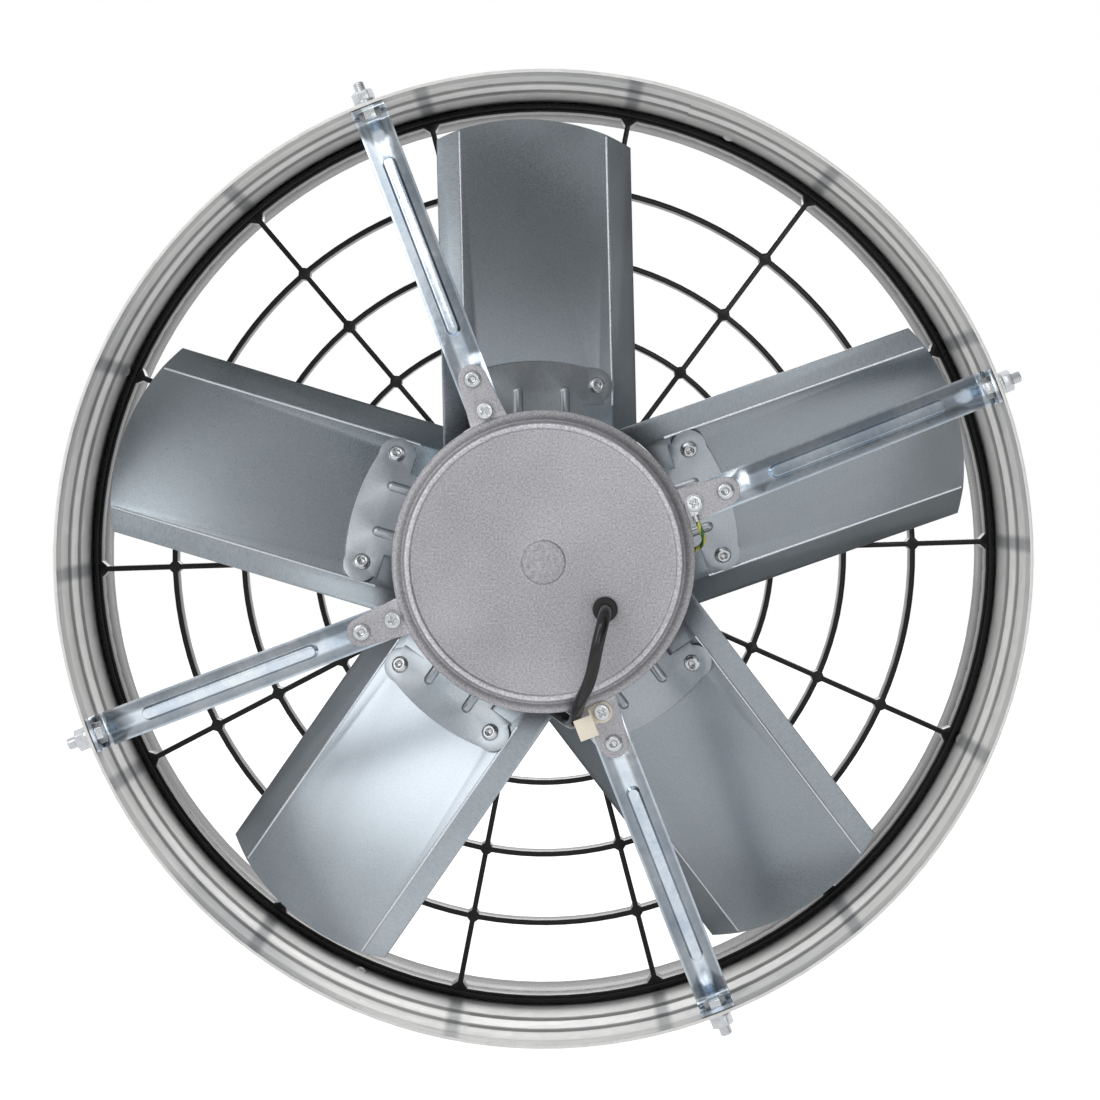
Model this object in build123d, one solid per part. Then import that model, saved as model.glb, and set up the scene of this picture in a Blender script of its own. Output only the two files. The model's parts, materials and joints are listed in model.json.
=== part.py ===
from build123d import *
import math
import os

os.makedirs("parts", exist_ok=True)

# The fan moves air along +Y. +Z is up and +X is to the right, seen from the motor side.
# Depths are measured back from the front rim of the duct, and angles turn
# anticlockwise from +X, seen from the motor side. The origin is on the axis, at mid-depth.

# Duct
duct_radius = 250.0
duct_wall = 0.8
duct_depth = 152.0
hem_depth = 14.0
hem_wall = 0.8
bead_depths = (41.0, 71.0)
bead_width = 5.0
bead_height = 1.5
lip_width = 4.5
dimple_radius = 4.0
dimple_height = 1.6
dimple_count = 4
seat_gap = 0.1
fit_gap = 0.05
soft_gap = 0.3

# Guard, a grille in a deep rim
guard_depth = 109.0
guard_front_gap = 1.6
guard_front_radius = duct_radius - duct_wall - guard_front_gap
guard_clearance = 0.4
guard_band = 4.7
guard_inner_radius = guard_front_radius - guard_band
guard_wall = 2.0
grille_band = 1.5
grille_depth = 12.0
grille_bar = 2.8
grille_spokes = 14
grille_first_angle = 1.8
grille_rings = (202.7, 164.8, 125.2, 86.0)
grille_gusset = 4.5
grille_hub_radius = 47.0
grille_hub_plate = 3.0

# Motor housings
cover_radius = 76.5
cover_face_depth = -24.0
cover_wall = 3.0
cover_split_depth = -8.0
cover_face_radius = 66.5
cover_bead_height = 1.6
cover_bead_width = 3.6
cover_shoulder_depth = -18.0
cover_boss_radius = 10.8
cover_boss_height = 0.6
rear_radius = 64.0
rear_flange = 4.0
rear_depth = 40.0
rear_ledge = 4.0
rear_shaft_hole = 9.0

# Lugs, arms and their fasteners
arm_count = 4
arm_first_angle = 21.2
lug_thickness = 4.0
lug_root_radius = 9.2
lug_tip_radius = 7.4
lug_screw_at = 81.5
lug_rivet_at = 98.6
arm_width = 18.0
arm_thickness = 2.0
arm_start = 77.0
arm_knee = 113.0
arm_end_depth = 23.0
arm_knee_bend = 30.0
arm_tab_bend = 5.0
arm_tab_depth = 1.0
arm_bead_from = 122.0
arm_bead_to = 222.0
arm_bead_width = 8.0
arm_bead_height = 3.0
screw_radius = 2.0
screw_head_radius = 4.2
screw_head_height = 2.8
screw_washer = 1.0
rivet_radius = 2.4
rivet_head_radius = 4.6
rivet_head_height = 2.0
rivet_bore = 1.7
bolt_depth = 7.5
bolt_radius = 3.0
bolt_flats = 10.0
bolt_head = 4.0
bolt_washer_radius = 6.0
bolt_washer = 1.6
bolt_nut = 5.0
bolt_free = 5.0

# Bearings, shaft and windings
shaft_radius = 6.0
bearing_radius = 16.0
bearing_width = 10.0
race_wall = 2.6
ball_radius = 2.0
ball_count = 7
preload_washer = 0.9
stator_length = 24.0
stator_bore = 32.5
stator_slots = 12
slot_width = 6.0
slot_depth = 12.0
winding_inner = 37.0
winding_outer = 54.0
winding_overhang = 10.0
rotor_gap = 0.5

# Impeller
blade_count = 5
blade_first_angle = 19.3
blade_pitch = 25.0
blade_axis_depth = 57.0
blade_sheet = 1.2
blade_panel = 85.5
blade_fold = 18.0
blade_fold_radius = 3.0
blade_front_flange = 12.0
blade_rear_flange = 18.0
blade_tip = 232.0
blade_tip_curve = 113.0
blade_root = 78.5
spider_sheet = 2.0
spider_disc_radius = 58.0
neck_half = 22.0
neck_from = 50.0
neck_to = 75.0
neck_steps = ((0, 0), (0.34, 0), (0.84, 1), (1, 1))
petal_radius = 104.0
petal_root = 81.0
petal_rivet_along = 91.0
petal_rivet_across = 29.7
petal_lobe = 9.3
rib_across = 12.4
rib_radius = 3.0
rib_height = 2.2
rib_end = 88.0
hub_radius = 16.0
hub_length = 12.0
hub_flange_radius = 26.0
hub_flange = 3.0
hub_rivet_circle = 21.0
hub_rivet_radius = 1.9
hub_rivet_head = 3.6
hub_washer_radius = 11.0
hub_washer_thick = 1.5
hub_nut_flats = 19.0
hub_nut_thick = 8.0
shaft_free = 3.0

# Lead, its grommet, clip and tie, and the earth wire
cord_radius = 3.2
cord_sides = 8
grommet_radius = 6.3
grommet_height = 2.0
grommet_neck = 4.6
coil_turns = 2
coil_lift = 1.8
coil_pitch = 7.2
coil_depth = 11.0
coil_angle = 238.0
core_radius = 1.1
core_length = 18.0
tie_thickness = 1.0
tie_width = 4.8
tie_angle = 100.0
clip_thickness = 0.8
clip_ring = 4.6
clip_width = 9.0
clip_height = 11.0
clip_centre_along = 85.3
clip_centre_across = -10.4
clip_top_depth = -26.0
tag_ring = 4.6
tag_tail_width = 4.2
tag_tail = 9.2
tag_barrel = 1.7
tag_barrel_length = 3.4
earth_radius = 1.2


# Helpers

def at(depth):
    """Y of a depth behind the front rim."""
    return depth - duct_depth / 2


def turned(shape, angle):
    """The shape turned anticlockwise about the fan's axis, seen from the motor side."""
    return Rot(0, -angle, 0) * shape


def lathe(points):
    """A solid of revolution from its section, given as (radius, depth) corners."""
    section = make_face(Polyline(*[(radius, at(depth)) for radius, depth in points], close=True))
    return revolve(section, axis=Axis.Y)


def plate(outline, front, back):
    """A front-view outline made solid from one depth to another."""
    return Pos(0, at(back), 0) * extrude(Plane.XZ * outline, amount=back - front)


def hexagon(flats):
    return RegularPolygon(radius=flats / 2, side_count=6, major_radius=False)


def arm_angles():
    return [arm_first_angle + 360 / arm_count * k for k in range(arm_count)]


def blade_angles():
    return [blade_first_angle + 360 / blade_count * k for k in range(blade_count)]


def rivet(grip):
    """A tubular rivet along +Z, its round head below z = 0 and its tail above the grip."""
    head = loft([Circle(rivet_head_radius), Pos(0, 0, -rivet_head_height) * Circle(rivet_head_radius * 0.6)],
                ruled=True)
    tail = Pos(0, 0, grip) * extrude(Circle(rivet_head_radius * 0.8), amount=rivet_bore * 0.7)
    whole = head + extrude(Circle(rivet_radius), amount=grip) + tail
    return whole - Pos(0, 0, -rivet_head_height) * extrude(Circle(rivet_bore), amount=rivet_bore)


def radial(shape, radius, depth):
    """A shape made along +Z, laid along +X at a radius and a depth."""
    return Pos(radius, at(depth), 0) * Rot(0, 90, 0) * shape


def tube(points, radius, first_normal):
    """A round cord on straight runs joined by tangent arcs, with its bend radii printed."""
    corners = [Vector(*point) for point in points]
    bends = []
    for before, here, after in zip(corners, corners[1:], corners[2:]):
        shorter = min((here - before).length, (after - here).length)
        turn = (here - before).get_angle(after - here)
        bends.append(0.45 * shorter / math.tan(math.radians(turn / 2)))
    path = FilletPolyline(*corners, radius=bends)
    print("bend radii:", [round(bend, 1) for bend in bends])
    section = RegularPolygon(radius=radius, side_count=cord_sides)
    solid = sweep(Plane(origin=corners[0], z_dir=first_normal) * section, path=path)
    print("tube volume", round(solid.volume), "section times length", round(section.area * path.length))
    return solid


def faceted_ball(radius):
    """A ball with few flat faces, from cubes turned against each other."""
    cube = Box(2 * radius, 2 * radius, 2 * radius)
    return cube & (Rot(45, 0, 0) * cube) & (Rot(0, 45, 0) * cube) & (Rot(0, 0, 45) * cube)


def save(name, *solids):
    """Write one node, and keep the label that its file carries."""
    node = solids[0] if len(solids) == 1 else Compound(children=list(solids))
    export_step(node, f"parts/{name}.step")


# Duct: a rolled sheet with a folded front hem, two inward beads and a turned-in rear lip

def wall_line(radius, first_depth, last_depth):
    """The wall's line in section, from front to back, dipping inwards at each bead."""
    line = [(radius, first_depth)]
    for depth in bead_depths:
        line.append((radius, depth - bead_width / 2))
        line.append((radius - bead_height, depth))
        line.append((radius, depth + bead_width / 2))
    return line + [(radius, last_depth)]


duct_inner = duct_radius - duct_wall
hem_inner = duct_inner - hem_wall
lip_inner = duct_radius - lip_width
outer_line = wall_line(duct_radius, 0, duct_depth)
inner_line = wall_line(duct_inner, hem_depth, duct_depth - duct_wall)
duct = lathe(outer_line + [(lip_inner, duct_depth), (lip_inner, duct_depth - duct_wall)]
             + inner_line[::-1] + [(hem_inner, hem_depth), (hem_inner, 0)])
bolt_hole = Cylinder(bolt_radius + soft_gap, 4 * lip_width)
dimple_reach = dimple_radius - dimple_height
for angle in arm_angles():
    duct -= turned(radial(bolt_hole, duct_radius, bolt_depth), angle)
for index in range(dimple_count):
    dimple = Pos(duct_inner + dimple_reach, at(guard_depth - dimple_radius), 0) * Sphere(dimple_radius)
    dimple &= lathe([(duct_inner - dimple_height, 0), (duct_inner + duct_wall / 2, 0),
                     (duct_inner + duct_wall / 2, duct_depth), (duct_inner - dimple_height, duct_depth)])
    duct += turned(dimple, arm_first_angle + 360 / dimple_count * (index + 0.5))
save("duct_ring", duct)

# Guard rim: an outward-open channel, seated on the duct's rear lip
rim_back = duct_depth - duct_wall
rim_step = guard_depth + grille_depth + seat_gap
rebate = guard_inner_radius + grille_band + seat_gap
rim_outer_wall = rebate + guard_wall
rim_back_radius = duct_inner - guard_clearance
guard_rim = lathe([(rebate, guard_depth), (guard_front_radius, guard_depth),
                   (guard_front_radius, guard_depth + guard_wall), (rim_outer_wall, guard_depth + guard_wall),
                   (rim_outer_wall, rim_back - guard_wall), (rim_back_radius, rim_back - guard_wall),
                   (rim_back_radius, rim_back), (guard_inner_radius, rim_back),
                   (guard_inner_radius, rim_step), (rebate, rim_step)])
save("guard_rim", guard_rim)


# Guard grille: spokes and rings as one flat pattern with a small gusset in every corner

def grille_pattern():
    band_outer = guard_inner_radius + grille_band
    pattern = Circle(band_outer) - Circle(guard_inner_radius)
    for radius in grille_rings:
        pattern += Circle(radius + grille_bar / 2) - Circle(radius - grille_bar / 2)
    length = guard_inner_radius + grille_band / 2 - grille_hub_radius + grille_bar
    for index in range(grille_spokes):
        angle = grille_first_angle + 360 / grille_spokes * index
        spoke = Pos(grille_hub_radius - grille_bar + length / 2, 0) * Rectangle(length, grille_bar)
        for radius in (*grille_rings, guard_inner_radius):
            spoke += Pos(radius, 0) * RegularPolygon(radius=grille_gusset, side_count=4)
        pattern += Rot(0, 0, angle) * spoke
    pattern += Circle(grille_hub_radius) - Circle(grille_hub_radius - grille_bar)
    return pattern & Circle(band_outer)


grille = plate(grille_pattern(), guard_depth, guard_depth + grille_depth)
grille += plate(Circle(grille_hub_radius - grille_bar / 2), guard_depth, guard_depth + grille_hub_plate)
save("guard_grille", grille)

# Front housing: a cast cover with a bead round its face, a bearing seat inside and four lugs
bearing_seat = bearing_radius + fit_gap
seat_outer = bearing_radius + cover_wall + 1
front_seat_depth = cover_face_depth + cover_wall + 0.5
front_bearing_depth = front_seat_depth + preload_washer
cover_in = cover_radius - cover_wall - 0.7
bead_top = cover_face_depth - cover_bead_height
bead_in = cover_face_radius + cover_bead_height / 2
cover_body = lathe([(0, cover_face_depth - cover_boss_height),
                    (cover_boss_radius, cover_face_depth - cover_boss_height),
                    (cover_boss_radius + cover_boss_height, cover_face_depth),
                    (cover_face_radius, cover_face_depth),
                    (bead_in, bead_top), (bead_in + cover_bead_width * 0.6, bead_top),
                    (bead_in + cover_bead_width, cover_shoulder_depth - 1.5),
                    (cover_radius - 2, cover_shoulder_depth), (cover_radius, cover_shoulder_depth + 2),
                    (cover_radius, cover_split_depth), (cover_in, cover_split_depth),
                    (cover_in, cover_split_depth - lug_thickness),
                    (cover_face_radius - cover_wall, cover_shoulder_depth + cover_wall),
                    (cover_face_radius - cover_wall, cover_face_depth + cover_wall),
                    (seat_outer, cover_face_depth + cover_wall),
                    (seat_outer, front_seat_depth + bearing_width),
                    (bearing_seat, front_seat_depth + bearing_width),
                    (bearing_seat, front_seat_depth), (0, front_seat_depth)])


def lug_outline(root_radius, tip_radius, tip_at):
    """The outline of a lug, two rounds and their hull, reaching back into the housing."""
    root = Pos(lug_screw_at, 0) * Circle(root_radius)
    tip = Pos(tip_at, 0) * Circle(tip_radius)
    heel = Pos(cover_radius - cover_wall / 2 - 1, 0) * Rectangle(2, 2 * root_radius + 1.5)
    return make_hull(root.edges() + tip.edges()) + make_hull(root.edges() + heel.edges())


arm_top = cover_split_depth - arm_thickness
lug_top = arm_top - lug_thickness
cover_inside = lathe([(0, lug_top), (cover_in, lug_top), (cover_in, cover_split_depth), (0, cover_split_depth)])
lug = plate(lug_outline(lug_root_radius, lug_tip_radius, lug_rivet_at)
            - Pos(lug_screw_at, 0) * Circle(screw_radius + fit_gap)
            - Pos(lug_rivet_at, 0) * Circle(rivet_radius + fit_gap), lug_top, arm_top) - cover_inside
front_housing = cover_body
for angle in arm_angles():
    front_housing += turned(lug, angle)
cord_x = 31.0
cord_z = -23.6
grommet_back = cover_face_depth + cover_wall
front_housing -= plate(Pos(cord_x, cord_z) * Circle(grommet_neck + fit_gap), cover_face_depth - 1, grommet_back + 1)
save("front_housing", front_housing)

# Rear housing: a turned can with a flange, four ears, a ledge for the stator and a bearing seat
can_in = rear_radius - cover_wall
rear_wall_depth = rear_depth - cover_wall
rear_bearing_depth = rear_wall_depth - bearing_width
flange_back = cover_split_depth + rear_flange
rear_housing = lathe([(can_in, cover_split_depth), (cover_radius, cover_split_depth), (cover_radius, flange_back),
                      (rear_radius, flange_back), (rear_radius, rear_depth - 4), (rear_radius - 4, rear_depth),
                      (rear_shaft_hole, rear_depth), (rear_shaft_hole, rear_wall_depth),
                      (bearing_seat, rear_wall_depth), (bearing_seat, rear_bearing_depth),
                      (seat_outer, rear_bearing_depth), (seat_outer, rear_wall_depth),
                      (can_in - rear_ledge, rear_wall_depth), (can_in - rear_ledge, stator_length),
                      (can_in, stator_length)])
ear_outline = make_hull((Pos(lug_screw_at, 0) * Circle(lug_tip_radius)).edges()
                        + (Pos(rear_radius + 2, 0) * Rectangle(2, 3 * lug_tip_radius)).edges())
ear = plate(ear_outline - Pos(lug_screw_at, 0) * Circle(screw_radius + fit_gap), cover_split_depth, flange_back)
for angle in arm_angles():
    rear_housing += turned(ear, angle)
save("rear_housing", rear_housing)

# Arms: a bent strip with a pressed bead, its end turned up against the duct's hem
tab_x = math.sqrt((hem_inner - soft_gap) ** 2 - (arm_width / 2) ** 2)
strip_x = tab_x - arm_thickness / 2
strip_start = Vector(arm_start, at(cover_split_depth - arm_thickness / 2), 0)
knee = Vector(arm_knee, strip_start.Y, 0)
corner = Vector(strip_x, at(arm_end_depth), 0)
strip_path = FilletPolyline(strip_start, knee, corner, (strip_x, at(arm_tab_depth), 0),
                            radius=[arm_knee_bend, arm_tab_bend])
strip_end = Plane(origin=strip_start, z_dir=(1, 0, 0))
arm = sweep(strip_end * Rectangle(arm_width, arm_thickness, rotation=0), path=strip_path)
slope = (corner - knee).normalized()
bead_plane = Plane(origin=knee, x_dir=slope, z_dir=(slope.Y, -slope.X, 0))
bead_from = (arm_bead_from - arm_knee) / slope.X
bead_to = (arm_bead_to - arm_knee) / slope.X


def arm_bead(width, rise, foot):
    """A long rounded bead on the sloping part of the arm, from a level of the strip upwards."""
    length = bead_to - bead_from - arm_bead_width + width
    slot = Pos((bead_from + bead_to) / 2, 0, foot) * SlotOverall(length, width)
    return extrude(bead_plane * slot, amount=rise, taper=20)


arm += arm_bead(arm_bead_width, arm_bead_height + arm_thickness / 2, 0)
arm -= arm_bead(arm_bead_width - arm_thickness, arm_bead_height, -arm_thickness / 2)
arm -= plate(Pos(lug_screw_at, 0) * Circle(screw_radius + fit_gap), arm_top - 1, cover_split_depth + 1)
arm -= plate(Pos(lug_rivet_at, 0) * Circle(rivet_radius + fit_gap), arm_top - 1, cover_split_depth + 1)
arm -= radial(Cylinder(bolt_radius + fit_gap, 4 * arm_thickness), strip_x, bolt_depth)
for number, angle in enumerate(arm_angles(), start=1):
    save(f"arm_{number}", turned(arm, angle))

# Lug screws: pan heads with a cross recess, through lug and arm into the ears
screw_seat = lug_top - screw_washer
head_top = screw_seat - screw_head_height
screw = plate(Circle(screw_radius), screw_seat, flange_back)
head = plate(Circle(screw_head_radius), head_top, screw_seat)
head = chamfer(head.faces().sort_by(Axis.Y)[0].edges(), screw_head_height * 0.35)
recess = plate(Rectangle(screw_head_radius, 0.9) + Rectangle(0.9, screw_head_radius), head_top, head_top + 1.6)
screw = Pos(lug_screw_at, 0, 0) * (screw + head - recess)
save("lug_screws", *[turned(screw, angle) for angle in arm_angles()])
washer = Pos(lug_screw_at, 0, 0) * plate(Circle(screw_head_radius) - Circle(screw_radius + fit_gap),
                                         screw_seat, lug_top)
save("lug_washers", *[turned(washer, angle) for angle in arm_angles()[1:3]])
lug_rivet = Pos(lug_rivet_at, at(lug_top), 0) * Rot(-90, 0, 0) * rivet(lug_thickness + arm_thickness)
save("arm_rivets", *[turned(lug_rivet, angle) for angle in arm_angles()])

# Bolts that hold the arms to the duct: head inside, washer and nut outside, a free end beyond
head_seat = strip_x - arm_thickness / 2
washer_seat = duct_radius + seat_gap
nut_seat = washer_seat + bolt_washer
bolt_end = nut_seat + bolt_nut + bolt_free
shank = extrude(Circle(bolt_radius), amount=bolt_end - head_seat)
shank = chamfer(shank.faces().sort_by(Axis.Z)[-1].edges(), 0.6)
bolt = extrude(hexagon(bolt_flats), amount=-bolt_head) + shank
hex_nut = extrude(hexagon(bolt_flats) - Circle(bolt_radius + fit_gap), amount=bolt_nut)
flat_washer = extrude(Circle(bolt_washer_radius) - Circle(bolt_radius + fit_gap), amount=bolt_washer)
save("arm_bolts", *[turned(radial(bolt, head_seat, bolt_depth), angle) for angle in arm_angles()])
save("arm_nuts", *[turned(radial(hex_nut, nut_seat, bolt_depth), angle) for angle in arm_angles()])
save("arm_washers", *[turned(radial(flat_washer, washer_seat, bolt_depth), angle) for angle in arm_angles()])

# Stator, windings and rotor
stator_radius = can_in - soft_gap
slot_at = (stator_bore + stator_radius) / 2 - 1.5
core_outline = Circle(stator_radius) - Circle(stator_bore)
bars = Sketch()
for index in range(stator_slots):
    place = Rot(0, 0, 360 / stator_slots * index) * Pos(slot_at, 0)
    core_outline -= place * Rectangle(slot_depth, slot_width)
    bars += place * Rectangle(slot_depth - 2 * soft_gap, slot_width - 2 * soft_gap)
save("stator_core", plate(core_outline, 0, stator_length))
winding_end = Circle(winding_outer) - Circle(winding_inner)
windings = plate(bars, -soft_gap, stator_length + soft_gap)
windings += plate(winding_end, -winding_overhang, -soft_gap)
windings += plate(winding_end, stator_length + soft_gap, stator_length + winding_overhang)
save("stator_windings", windings)
rotor_radius = stator_bore - rotor_gap
rotor = plate(Circle(rotor_radius) - Circle(shaft_radius + fit_gap), 0, stator_length)
save("rotor_core", rotor)

# Ball bearings, front and rear
race_bore = shaft_radius + fit_gap
ball_circle = (race_bore + bearing_radius) / 2
for name, depth in (("front", front_bearing_depth), ("rear", rear_bearing_depth)):
    outer_race = plate(Circle(bearing_radius) - Circle(bearing_radius - race_wall), depth, depth + bearing_width)
    inner_race = plate(Circle(race_bore + race_wall) - Circle(race_bore), depth, depth + bearing_width)
    ball = Pos(ball_circle, at(depth + bearing_width / 2), 0) * faceted_ball(ball_radius)
    save(f"{name}_bearing_outer", outer_race)
    save(f"{name}_bearing_inner", inner_race)
    save(f"{name}_bearing_balls", *[turned(ball, 360 / ball_count * k) for k in range(ball_count)])
preload = plate(Circle(bearing_radius) - Circle(bearing_radius - race_wall), front_seat_depth, front_bearing_depth)
save("preload_washer", preload)

# Impeller blades: a folded channel, pitched about its radius and cut to the shape seen along the axis
pitch_cos = math.cos(math.radians(blade_pitch))
pitch_sin = math.sin(math.radians(blade_pitch))
blade_origin = (0, at(blade_axis_depth), 0)
blade_plane = Plane(origin=blade_origin, x_dir=(1, 0, 0), z_dir=(0, -pitch_cos, -pitch_sin))
section_plane = Plane(origin=blade_origin, x_dir=(0, -pitch_sin, pitch_cos), z_dir=(1, 0, 0))
fold_cos = math.cos(math.radians(blade_fold))
fold_sin = math.sin(math.radians(blade_fold))
panel_half = blade_panel / 2


def folded_line(level):
    """The blade's section line, folded back at both edges, at a level behind its front face."""
    shift = level * math.tan(math.radians(blade_fold / 2))
    half = panel_half - shift
    return FilletPolyline((-half - blade_rear_flange * fold_cos, -level - blade_rear_flange * fold_sin),
                          (-half, -level), (half, -level),
                          (half + blade_front_flange * fold_cos, -level - blade_front_flange * fold_sin),
                          radius=blade_fold_radius + blade_sheet - level)


front_line = folded_line(0)
back_line = folded_line(blade_sheet)
blade_section = make_face([front_line, back_line, Line(front_line @ 0, back_line @ 0),
                           Line(front_line @ 1, back_line @ 1)])
channel = extrude(section_plane * blade_section, amount=blade_tip + 1)
reach = blade_panel
sweep_front = blade_axis_depth - reach
sweep_back = blade_axis_depth + reach
tip_centre = blade_tip - blade_tip_curve
blade_view = Pos(tip_centre, 0) * Circle(blade_tip_curve)
blade_view += Pos(tip_centre / 2, 0) * Rectangle(tip_centre, 2 * blade_tip_curve)
blade_view -= Circle(blade_root)
blade_view &= Pos(blade_tip, 0) * Rectangle(2 * blade_tip - blade_root, 2 * blade_tip_curve)
rivet_across = petal_rivet_across / pitch_cos
rivet_places = [Pos(petal_rivet_along, side * rivet_across, 0) for side in (-1, 1)]
blade = channel & plate(blade_view, sweep_front, sweep_back)
for place in rivet_places:
    blade -= blade_plane * place * Cylinder(rivet_radius + fit_gap, 8 * blade_sheet)
for number, angle in enumerate(blade_angles(), start=1):
    save(f"blade_{number}", turned(blade, angle))

# Spider: a disc with five twisted necks, each ending in a riveted petal with two pressed ribs
petal_view = Circle(petal_radius) & Pos((petal_radius + petal_root) / 2, 0) * Rectangle(
    petal_radius - petal_root, 2 * petal_rivet_across + petal_lobe)
for side in (-1, 1):
    petal_view += Pos(petal_rivet_along, side * petal_rivet_across) * Circle(petal_lobe)
petal_foot = neck_to - 1.5 * spider_sheet
petal_view += Pos((petal_foot + petal_rivet_along) / 2, 0) * Rectangle(petal_rivet_along - petal_foot, 2 * neck_half)
slab = blade_plane * Pos(petal_rivet_along, 0, spider_sheet / 2) * Box(petal_radius, 2 * petal_radius, spider_sheet)
petal = slab & plate(petal_view, sweep_front, sweep_back)


def neck_section(share, tilt):
    """A section across the neck, at a share of its length and a share of the blade's pitch."""
    lean = math.radians(blade_pitch * tilt)
    across = Plane(origin=(neck_from + (neck_to - neck_from) * share, at(blade_axis_depth - spider_sheet / 2 * math.cos(lean)), 0),
                   x_dir=(0, -math.sin(lean), math.cos(lean)), z_dir=(1, 0, 0))
    return across * Rectangle(2 * neck_half, spider_sheet - 2 * fit_gap)


petal += loft([neck_section(*step) for step in neck_steps], ruled=True)
rib_centre = spider_sheet + rib_height - rib_radius
for side in (-1, 1):
    across = side * rib_across / pitch_cos
    rib = Pos((neck_to + rib_end) / 2, across, rib_centre) * Rot(0, 90, 0) * Cylinder(rib_radius, rib_end - neck_to)
    rib += Pos(rib_end, across, rib_centre) * Sphere(rib_radius)
    rib &= Pos(neck_to + rib_end / 2, across, rib_radius + spider_sheet / 2) * Box(
        rib_end, 3 * rib_radius, 2 * rib_radius)
    petal += blade_plane * rib
for place in rivet_places:
    petal -= blade_plane * place * Cylinder(rivet_radius + fit_gap, 8 * spider_sheet)
disc_front = blade_axis_depth - spider_sheet
hub_rivet_places = [Rot(0, 0, 360 / blade_count * k) * Pos(hub_rivet_circle, 0) for k in range(blade_count)]
disc_view = Circle(spider_disc_radius) - Circle(shaft_radius + fit_gap)
for place in hub_rivet_places:
    disc_view -= place * Circle(hub_rivet_radius + fit_gap)
spider = plate(disc_view, disc_front, blade_axis_depth)
for angle in blade_angles():
    spider += turned(petal, angle)
save("impeller_spider", spider)
blade_rivet = blade_plane * Pos(0, 0, spider_sheet) * Rot(180, 0, 0) * rivet(spider_sheet + blade_sheet)
save("blade_rivets", *[turned(blade_plane * place * blade_plane.location.inverse() * blade_rivet, angle)
                       for angle in blade_angles() for place in rivet_places])

# Hub, its rivets, the shaft and the shaft nut
hub_back = blade_axis_depth + hub_length
hub_washer_back = hub_back + hub_washer_thick
hub_nut_back = hub_washer_back + hub_nut_thick
flange_view = Circle(hub_flange_radius)
for place in hub_rivet_places:
    flange_view -= place * Circle(hub_rivet_radius + fit_gap)
hub = plate(flange_view, blade_axis_depth, blade_axis_depth + hub_flange)
hub += plate(Circle(hub_radius), blade_axis_depth, hub_back)
hub -= plate(Circle(shaft_radius + fit_gap), disc_front, hub_back + 1)
save("hub_boss", hub)
pin_ends = (disc_front - hub_rivet_radius, blade_axis_depth + hub_flange + hub_rivet_radius)
hub_rivets = []
for place in hub_rivet_places:
    pin = plate(place * Circle(hub_rivet_radius), *pin_ends)
    pin += plate(place * Circle(hub_rivet_head), pin_ends[0], disc_front)
    pin += plate(place * Circle(hub_rivet_head), blade_axis_depth + hub_flange, pin_ends[1])
    hub_rivets.append(pin)
save("hub_rivets", *hub_rivets)
shaft = plate(Circle(shaft_radius), front_bearing_depth, hub_nut_back + shaft_free)
save("motor_shaft", chamfer(shaft.edges().filter_by(GeomType.CIRCLE), 0.8))
save("hub_washer", plate(Circle(hub_washer_radius) - Circle(shaft_radius + fit_gap), hub_back, hub_washer_back))
save("hub_nut", plate(hexagon(hub_nut_flats) - Circle(shaft_radius + fit_gap), hub_washer_back, hub_nut_back))

# Lead: grommet, the free stretch down the cover, and the rest wound round the rear housing
grommet = plate(Pos(cord_x, cord_z) * Circle(grommet_radius), cover_face_depth - grommet_height, cover_face_depth)
grommet = chamfer(grommet.faces().sort_by(Axis.Y)[0].edges(), grommet_height * 0.45)
grommet += plate(Pos(cord_x, cord_z) * Circle(grommet_neck), cover_face_depth, grommet_back)
save("cord_grommet", grommet)

coil_radius = rear_radius + coil_lift + cord_radius
coil_rise = coil_pitch / (2 * math.pi)


def coil_point(angle):
    """A point of the winding, which runs clockwise and back from its start."""
    wound = math.radians(coil_angle - angle)
    return Vector(coil_radius * math.cos(math.radians(angle)), at(coil_depth) + coil_rise * wound,
                  coil_radius * math.sin(math.radians(angle)))


def coil_tangent(angle):
    return Vector(coil_radius * math.sin(math.radians(angle)), coil_rise,
                  -coil_radius * math.cos(math.radians(angle))).normalized()


coil_start = coil_point(coil_angle) - coil_tangent(coil_angle) * 2 * cord_radius
lead_in = coil_point(coil_angle) - coil_tangent(coil_angle) * 20
cord_route = [(cord_x, at(cover_face_depth - grommet_height), cord_z),
              (cord_x, at(-42.0), cord_z), (26.8, at(-46.5), -40.0), (23.5, at(-44.0), -58.0),
              (17.5, at(-31.5), -70.5), (15.8, at(-15.0), -81.5), (9.0, at(-3.0), -84.5),
              (-4.5, at(7.0), -80.5), (lead_in.X, lead_in.Y, lead_in.Z), (coil_start.X, coil_start.Y, coil_start.Z)]
save("power_cord", tube(cord_route, cord_radius, (0, -1, 0)))

last_angle = coil_angle - 360 * coil_turns
steps = 8 * coil_turns
angles = [coil_angle - 45 * k for k in range(steps + 1)]
coil_end = coil_point(last_angle) + coil_tangent(last_angle) * 2 * cord_radius
spans = [Line(coil_start, coil_point(coil_angle))]
for first, second in zip(angles, angles[1:]):
    start, finish = coil_point(first), coil_point(second)
    tangent_in, tangent_out = coil_tangent(first), coil_tangent(second)
    chord = finish - start
    mean = tangent_in + tangent_out
    bulge = mean.dot(mean) - 4
    half_sum = chord.dot(mean)
    reach_out = (half_sum - math.sqrt(half_sum ** 2 - bulge * chord.dot(chord))) / bulge
    joint = (start + finish + (tangent_in - tangent_out) * reach_out) * 0.5
    spans.append(Edge.make_tangent_arc(start, tangent_in, joint))
    spans.append(Edge.make_tangent_arc(joint, spans[-1] % 1, finish))
spans.append(Line(coil_point(last_angle), coil_end))
coil_path = Wire([span if isinstance(span, Edge) else span.edge() for span in spans])
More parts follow.
